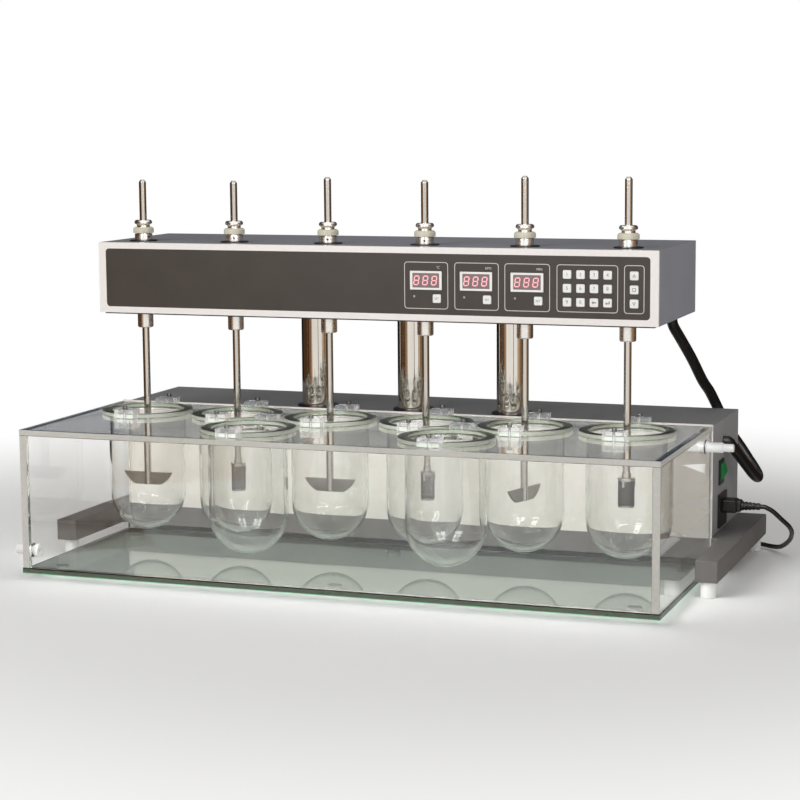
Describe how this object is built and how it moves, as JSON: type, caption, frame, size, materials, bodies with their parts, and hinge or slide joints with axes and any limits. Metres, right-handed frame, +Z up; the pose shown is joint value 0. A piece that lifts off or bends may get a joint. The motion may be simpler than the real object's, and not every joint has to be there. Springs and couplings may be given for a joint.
{
  "type": "dissolution tester",
  "caption": "Bench dissolution tester with a clear water bath of round-bottomed vessels and a lifting head whose spindles turn paddles and baskets.",
  "frame": {"origin": "on the bench, under the middle of the object's box without its mains lead", "axes": "+X to the right seen from the front, +Y from the bath to the back of the cabinet, +Z up"},
  "size_m": [1.0168, 0.6244, 0.542],
  "materials": {
    "base_coat": "fine texture powder coat",
    "foot_rubber": "moulded matt",
    "cabinet_coat": "fine texture powder coat",
    "panel_coat": "smooth satin enamel",
    "column_chrome": "polished",
    "bush_plastic": "turned",
    "drive_metal": "satin",
    "clear_acrylic": "polished clear sheet",
    "floor_glass": "polished edge",
    "vessel_glass": "blown clear",
    "screw_steel": "black oxide",
    "fitting_plastic": "moulded",
    "head_coat": "fine texture powder coat",
    "front_coat": "smooth satin enamel",
    "fascia_film": "printed satin film",
    "display_plastic": "smoked window",
    "seat_plastic": "turned",
    "spindle_steel": "turned and polished",
    "shaft_steel": "ground and polished",
    "pulley_alloy": "turned",
    "black_rubber": "extruded matt",
    "key_plastic": "moulded satin",
    "rocker_plastic": "moulded, lit",
    "inlet_plastic": "moulded",
    "heater_metal": "satin"
  },
  "bodies": {
    "base": {"base_slab": "base_coat", "rest_feet": "foot_rubber", "cabinet_shell": "cabinet_coat", "cabinet_front": "panel_coat", "column_bushes": "bush_plastic", "lift_drive": "drive_metal", "tank_walls": "clear_acrylic", "tank_floor": "floor_glass", "tank_cover": "clear_acrylic", "vessels": "vessel_glass", "vessel_clamps": "clear_acrylic", "small_screws": "screw_steel", "tank_fittings": "fitting_plastic", "mains_inlet": "inlet_plastic", "cord_ends": "black_rubber", "mains_cord": "black_rubber", "cord_coil": "black_rubber", "bath_heater": "heater_metal", "wiring_hose": "black_rubber"},
    "head": {"head_shell": "head_coat", "head_front": "front_coat", "head_fascia": "fascia_film", "display_board": "display_plastic", "spindle_bearings": "seat_plastic", "drive_motor": "drive_metal", "drive_belt": "black_rubber", "lift_columns": "column_chrome", "lift_rod": "shaft_steel"},
    "drive": {"drive_pulley": "pulley_alloy"},
    "rocker": {"power_rocker": "rocker_plastic"},
    "spindle_1": {"spindle_1": "spindle_steel"},
    "shaft_1": {"shaft_1": "shaft_steel"},
    "spindle_2": {"spindle_2": "spindle_steel"},
    "shaft_2": {"shaft_2": "shaft_steel"},
    "spindle_3": {"spindle_3": "spindle_steel"},
    "shaft_3": {"shaft_3": "shaft_steel"},
    "spindle_4": {"spindle_4": "spindle_steel"},
    "shaft_4": {"shaft_4": "shaft_steel"},
    "spindle_5": {"spindle_5": "spindle_steel"},
    "shaft_5": {"shaft_5": "shaft_steel"},
    "spindle_6": {"spindle_6": "spindle_steel"},
    "shaft_6": {"shaft_6": "shaft_steel"},
    "pad_key_1": {"pad_key_1": "key_plastic"},
    "pad_key_2": {"pad_key_2": "key_plastic"},
    "pad_key_3": {"pad_key_3": "key_plastic"},
    "pad_key_4": {"pad_key_4": "key_plastic"},
    "pad_key_5": {"pad_key_5": "key_plastic"},
    "pad_key_6": {"pad_key_6": "key_plastic"},
    "pad_key_7": {"pad_key_7": "key_plastic"},
    "pad_key_8": {"pad_key_8": "key_plastic"},
    "pad_key_9": {"pad_key_9": "key_plastic"},
    "pad_key_10": {"pad_key_10": "key_plastic"},
    "pad_key_11": {"pad_key_11": "key_plastic"},
    "pad_key_12": {"pad_key_12": "key_plastic"},
    "set_key_1": {"set_key_1": "key_plastic"},
    "set_key_2": {"set_key_2": "key_plastic"},
    "set_key_3": {"set_key_3": "key_plastic"},
    "lift_key_1": {"lift_key_1": "key_plastic"},
    "lift_key_2": {"lift_key_2": "key_plastic"},
    "lift_key_3": {"lift_key_3": "key_plastic"}
  },
  "joints": [
    {"name": "head_lift", "type": "slide", "parent": "base", "child": "head", "axis": [0, 0, 1], "range_m": [-0.03, 0.1], "deforming": ["wiring_hose"]},
    {"name": "drive_spin", "type": "hinge", "parent": "head", "child": "drive", "pos_m": [0, -0.05, 0.4], "axis": [0, 0, 1], "continuous": true},
    {"name": "rocker_tilt", "type": "hinge", "parent": "base", "child": "rocker", "pos_m": [0.442, 0.116, 0.1325], "axis": [0, 1, 0], "range_deg": [-14, 0]},
    {"name": "spindle_1_spin", "type": "hinge", "parent": "head", "child": "spindle_1", "pos_m": [-0.35, -0.05, 0.4], "axis": [0, 0, 1], "continuous": true},
    {"name": "shaft_1_slide", "type": "slide", "parent": "spindle_1", "child": "shaft_1", "axis": [0, 0, 1], "range_m": [-0.02, 0.06]},
    {"name": "spindle_2_spin", "type": "hinge", "parent": "head", "child": "spindle_2", "pos_m": [-0.21, -0.05, 0.4], "axis": [0, 0, 1], "continuous": true},
    {"name": "shaft_2_slide", "type": "slide", "parent": "spindle_2", "child": "shaft_2", "axis": [0, 0, 1], "range_m": [-0.02, 0.06]},
    {"name": "spindle_3_spin", "type": "hinge", "parent": "head", "child": "spindle_3", "pos_m": [-0.07, -0.05, 0.4], "axis": [0, 0, 1], "continuous": true},
    {"name": "shaft_3_slide", "type": "slide", "parent": "spindle_3", "child": "shaft_3", "axis": [0, 0, 1], "range_m": [-0.02, 0.06]},
    {"name": "spindle_4_spin", "type": "hinge", "parent": "head", "child": "spindle_4", "pos_m": [0.07, -0.05, 0.4], "axis": [0, 0, 1], "continuous": true},
    {"name": "shaft_4_slide", "type": "slide", "parent": "spindle_4", "child": "shaft_4", "axis": [0, 0, 1], "range_m": [-0.02, 0.06]},
    {"name": "spindle_5_spin", "type": "hinge", "parent": "head", "child": "spindle_5", "pos_m": [0.21, -0.05, 0.4], "axis": [0, 0, 1], "continuous": true},
    {"name": "shaft_5_slide", "type": "slide", "parent": "spindle_5", "child": "shaft_5", "axis": [0, 0, 1], "range_m": [-0.02, 0.06]},
    {"name": "spindle_6_spin", "type": "hinge", "parent": "head", "child": "spindle_6", "pos_m": [0.35, -0.05, 0.4], "axis": [0, 0, 1], "continuous": true},
    {"name": "shaft_6_slide", "type": "slide", "parent": "spindle_6", "child": "shaft_6", "axis": [0, 0, 1], "range_m": [-0.02, 0.06]},
    {"name": "pad_key_1_press", "type": "slide", "parent": "head", "child": "pad_key_1", "axis": [0, 1, 0], "range_m": [0, 0.0006], "stiffness_N_per_m": 1500, "springref_m": -0.0004},
    {"name": "pad_key_2_press", "type": "slide", "parent": "head", "child": "pad_key_2", "axis": [0, 1, 0], "range_m": [0, 0.0006], "stiffness_N_per_m": 1500, "springref_m": -0.0004},
    {"name": "pad_key_3_press", "type": "slide", "parent": "head", "child": "pad_key_3", "axis": [0, 1, 0], "range_m": [0, 0.0006], "stiffness_N_per_m": 1500, "springref_m": -0.0004},
    {"name": "pad_key_4_press", "type": "slide", "parent": "head", "child": "pad_key_4", "axis": [0, 1, 0], "range_m": [0, 0.0006], "stiffness_N_per_m": 1500, "springref_m": -0.0004},
    {"name": "pad_key_5_press", "type": "slide", "parent": "head", "child": "pad_key_5", "axis": [0, 1, 0], "range_m": [0, 0.0006], "stiffness_N_per_m": 1500, "springref_m": -0.0004},
    {"name": "pad_key_6_press", "type": "slide", "parent": "head", "child": "pad_key_6", "axis": [0, 1, 0], "range_m": [0, 0.0006], "stiffness_N_per_m": 1500, "springref_m": -0.0004},
    {"name": "pad_key_7_press", "type": "slide", "parent": "head", "child": "pad_key_7", "axis": [0, 1, 0], "range_m": [0, 0.0006], "stiffness_N_per_m": 1500, "springref_m": -0.0004},
    {"name": "pad_key_8_press", "type": "slide", "parent": "head", "child": "pad_key_8", "axis": [0, 1, 0], "range_m": [0, 0.0006], "stiffness_N_per_m": 1500, "springref_m": -0.0004},
    {"name": "pad_key_9_press", "type": "slide", "parent": "head", "child": "pad_key_9", "axis": [0, 1, 0], "range_m": [0, 0.0006], "stiffness_N_per_m": 1500, "springref_m": -0.0004},
    {"name": "pad_key_10_press", "type": "slide", "parent": "head", "child": "pad_key_10", "axis": [0, 1, 0], "range_m": [0, 0.0006], "stiffness_N_per_m": 1500, "springref_m": -0.0004},
    {"name": "pad_key_11_press", "type": "slide", "parent": "head", "child": "pad_key_11", "axis": [0, 1, 0], "range_m": [0, 0.0006], "stiffness_N_per_m": 1500, "springref_m": -0.0004},
    {"name": "pad_key_12_press", "type": "slide", "parent": "head", "child": "pad_key_12", "axis": [0, 1, 0], "range_m": [0, 0.0006], "stiffness_N_per_m": 1500, "springref_m": -0.0004},
    {"name": "set_key_1_press", "type": "slide", "parent": "head", "child": "set_key_1", "axis": [0, 1, 0], "range_m": [0, 0.0006], "stiffness_N_per_m": 1500, "springref_m": -0.0004},
    {"name": "set_key_2_press", "type": "slide", "parent": "head", "child": "set_key_2", "axis": [0, 1, 0], "range_m": [0, 0.0006], "stiffness_N_per_m": 1500, "springref_m": -0.0004},
    {"name": "set_key_3_press", "type": "slide", "parent": "head", "child": "set_key_3", "axis": [0, 1, 0], "range_m": [0, 0.0006], "stiffness_N_per_m": 1500, "springref_m": -0.0004},
    {"name": "lift_key_1_press", "type": "slide", "parent": "head", "child": "lift_key_1", "axis": [0, 1, 0], "range_m": [0, 0.0006], "stiffness_N_per_m": 1500, "springref_m": -0.0004},
    {"name": "lift_key_2_press", "type": "slide", "parent": "head", "child": "lift_key_2", "axis": [0, 1, 0], "range_m": [0, 0.0006], "stiffness_N_per_m": 1500, "springref_m": -0.0004},
    {"name": "lift_key_3_press", "type": "slide", "parent": "head", "child": "lift_key_3", "axis": [0, 1, 0], "range_m": [0, 0.0006], "stiffness_N_per_m": 1500, "springref_m": -0.0004}
  ],
  "couplings": [
    {"joint": "spindle_2_spin", "follows": "spindle_1_spin", "ratio": 1},
    {"joint": "spindle_3_spin", "follows": "spindle_1_spin", "ratio": 1},
    {"joint": "spindle_4_spin", "follows": "spindle_1_spin", "ratio": 1},
    {"joint": "spindle_5_spin", "follows": "spindle_1_spin", "ratio": 1},
    {"joint": "spindle_6_spin", "follows": "spindle_1_spin", "ratio": 1},
    {"joint": "drive_spin", "follows": "spindle_1_spin", "ratio": 1}
  ]
}
